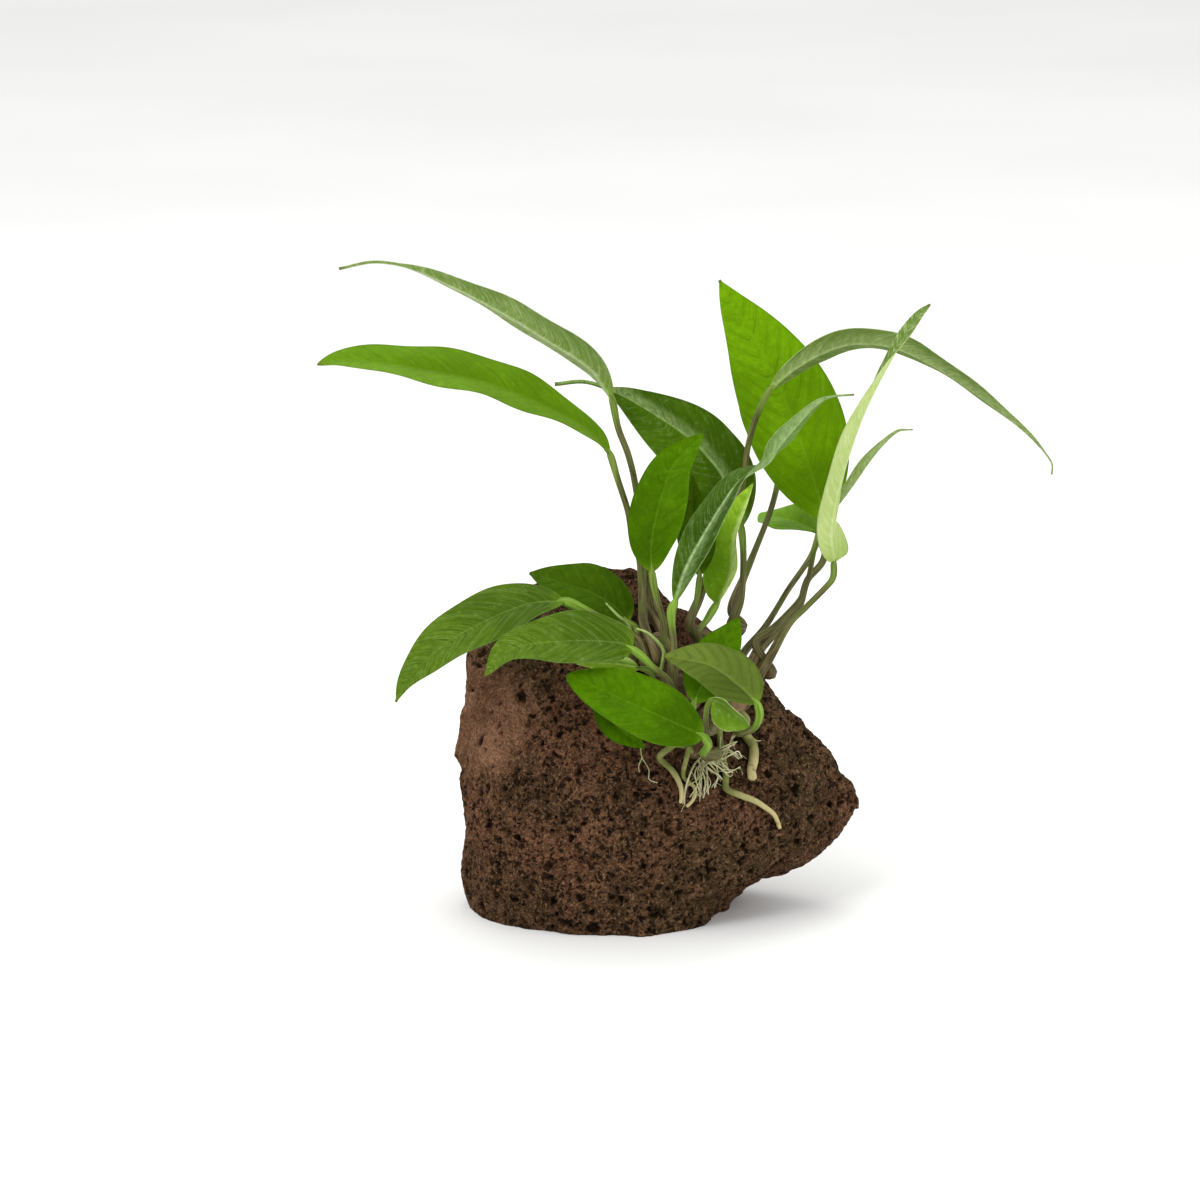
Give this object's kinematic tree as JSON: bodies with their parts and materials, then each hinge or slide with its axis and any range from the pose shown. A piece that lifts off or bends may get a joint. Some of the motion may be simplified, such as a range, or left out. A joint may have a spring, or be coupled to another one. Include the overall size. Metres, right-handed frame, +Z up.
{
  "type": "aquarium plant on lava stone",
  "caption": "Anubias aquarium plant with long glossy green leaves, growing from a creeping stem on the front of a porous reddish-brown lava stone.",
  "frame": {"origin": "on the plane of the stone's flat foot, under the middle of the stone", "axes": "+X to the right of the front, towards the stone's pointed lobe; +Y to the back, behind the plant; +Z up, out of the flat foot"},
  "size_m": [0.2185, 0.1158, 0.1955],
  "materials": {
    "lava_stone": "rough, porous",
    "creeper": "satin",
    "stalk": "satin",
    "blade": "satin",
    "root": "satin"
  },
  "bodies": {
    "root": {"blade_arching_right": "blade", "blade_behind_olive": "blade", "blade_bright_centre": "blade", "blade_broad": "blade", "blade_broad_rear": "blade", "blade_dark_centre": "blade", "blade_drooping_left": "blade", "blade_front": "blade", "blade_level_left": "blade", "blade_lime": "blade", "blade_low_front": "blade", "blade_low_rear": "blade", "blade_mid_left": "blade", "blade_narrow_right": "blade", "blade_olive": "blade", "blade_shoulder_left": "blade", "blade_sliver": "blade", "blade_small_centre": "blade", "blade_spoon": "blade", "blade_top_left": "blade", "blade_twisted": "blade", "blade_upright_right": "blade", "creeper_left": "creeper", "creeper_main": "creeper", "creeper_middle": "creeper", "fine_roots": "root", "lava_stone": "lava_stone", "root_left": "root", "root_long": "root", "root_right": "root", "root_short": "root", "shoot_left": "root", "shoot_right": "root", "stalk_arching_right": "stalk", "stalk_behind_olive": "stalk", "stalk_bright_centre": "stalk", "stalk_broad": "stalk", "stalk_broad_rear": "stalk", "stalk_dark_centre": "stalk", "stalk_drooping_left": "stalk", "stalk_front": "stalk", "stalk_level_left": "stalk", "stalk_lime": "stalk", "stalk_low_front": "stalk", "stalk_low_rear": "stalk", "stalk_mid_left": "stalk", "stalk_narrow_right": "stalk", "stalk_olive": "stalk", "stalk_shoulder_left": "stalk", "stalk_sliver": "stalk", "stalk_small_centre": "stalk", "stalk_spoon": "stalk", "stalk_top_left": "stalk", "stalk_twisted": "stalk", "stalk_upright_right": "stalk"}
  },
  "joints": []
}
